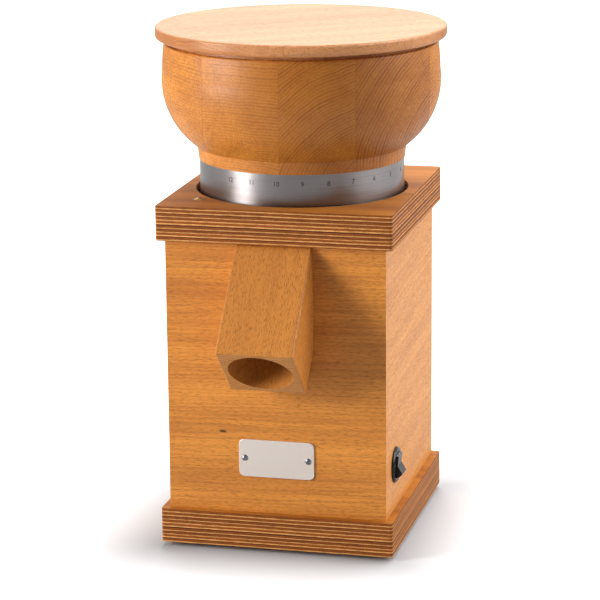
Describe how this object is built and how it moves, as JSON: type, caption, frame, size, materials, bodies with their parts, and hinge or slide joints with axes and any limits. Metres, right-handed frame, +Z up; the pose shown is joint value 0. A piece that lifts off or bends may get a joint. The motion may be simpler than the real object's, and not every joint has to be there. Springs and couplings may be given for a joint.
{
  "type": "electric grain mill",
  "caption": "Electric stone grain mill in a wooden case, with a screw-down wooden hopper that sets the fineness, a lid, a slanting flour spout and a rocker switch.",
  "frame": {"origin": "on the surface that the mill stands on, below the common axis of hopper and motor", "axes": "+Z up along the hopper's axis, -Y towards the flour spout, +X towards the side with the switch"},
  "size_m": [0.2086, 0.249, 0.369],
  "materials": {
    "beech": "oiled",
    "beech_lid": "oiled",
    "multiplex": "oiled plies",
    "stainless": "brushed",
    "screw_steel": "bright",
    "brass_screw": "satin",
    "rubber": "matt",
    "switch_plastic": "gloss",
    "gland_plastic": "matt",
    "cast_aluminium": "cast",
    "motor_paint": "satin",
    "lamination": "dull",
    "copper": "enamelled",
    "bearing_steel": "ground",
    "felt": "felt",
    "stone": "matt ceramic",
    "capacitor_can": "satin",
    "nylon": "matt"
  },
  "bodies": {
    "case": {"base_plate": "multiplex", "top_plate": "multiplex", "front_panel": "beech", "rear_panel": "beech", "left_panel": "beech", "right_panel": "beech", "corner_blocks": "beech", "feet": "rubber", "foot_screws": "screw_steel", "spout": "beech", "nameplate": "stainless", "nameplate_screws": "screw_steel", "pointer_screw": "brass_screw", "switch_body": "switch_plastic", "switch_terminals": "copper", "cable_gland": "gland_plastic", "gland_nut": "gland_plastic", "mill_chamber": "cast_aluminium", "chamber_screws": "screw_steel", "motor_housing": "motor_paint", "upper_bell": "motor_paint", "lower_bell": "motor_paint", "upper_bearing": "bearing_steel", "lower_bearing": "bearing_steel", "stator": "lamination", "windings": "copper", "motor_bolts": "screw_steel", "motor_screws": "screw_steel", "shaft_seal": "felt", "capacitor": "capacitor_can", "capacitor_clip": "nylon", "terminal_block": "nylon"},
    "rotor": {"motor_shaft": "bearing_steel", "rotor_core": "lamination", "cooling_fan": "nylon", "lower_carrier": "cast_aluminium", "lower_stone": "stone", "stirrer": "screw_steel", "drive_bolt": "screw_steel"},
    "thread_slide": {"felt_seal": "felt"},
    "hopper": {"hopper_bowl": "beech", "threaded_collar": "cast_aluminium", "upper_stone": "stone", "scale_ring": "stainless", "hopper_screws_set": "screw_steel"},
    "lid": {"lid": "beech_lid"},
    "rocker": {"rocker": "switch_plastic"}
  },
  "joints": [
    {"name": "motor_spin", "type": "hinge", "parent": "case", "child": "rotor", "pos_m": [0, 0, 0.12], "axis": [0, 0, 1], "continuous": true},
    {"name": "thread_feed", "type": "slide", "parent": "case", "child": "thread_slide", "axis": [0, 0, -1], "range_m": [0, 0.00157]},
    {"name": "grind_adjust", "type": "hinge", "parent": "thread_slide", "child": "hopper", "pos_m": [0, 0, 0.26], "axis": [0, 0, -1], "range_deg": [0, 187.2]},
    {"name": "lid_lift", "type": "slide", "parent": "hopper", "child": "lid", "axis": [0, 0, 1], "range_m": [0, 0.12]},
    {"name": "switch_rock", "type": "hinge", "parent": "case", "child": "rocker", "pos_m": [0.0795, -0.053, 0.0613], "axis": [0, 1, 0], "range_deg": [0, 24]}
  ],
  "couplings": [
    {"joint": "thread_feed", "follows": "grind_adjust", "m_per_rad": 0.00047746}
  ]
}
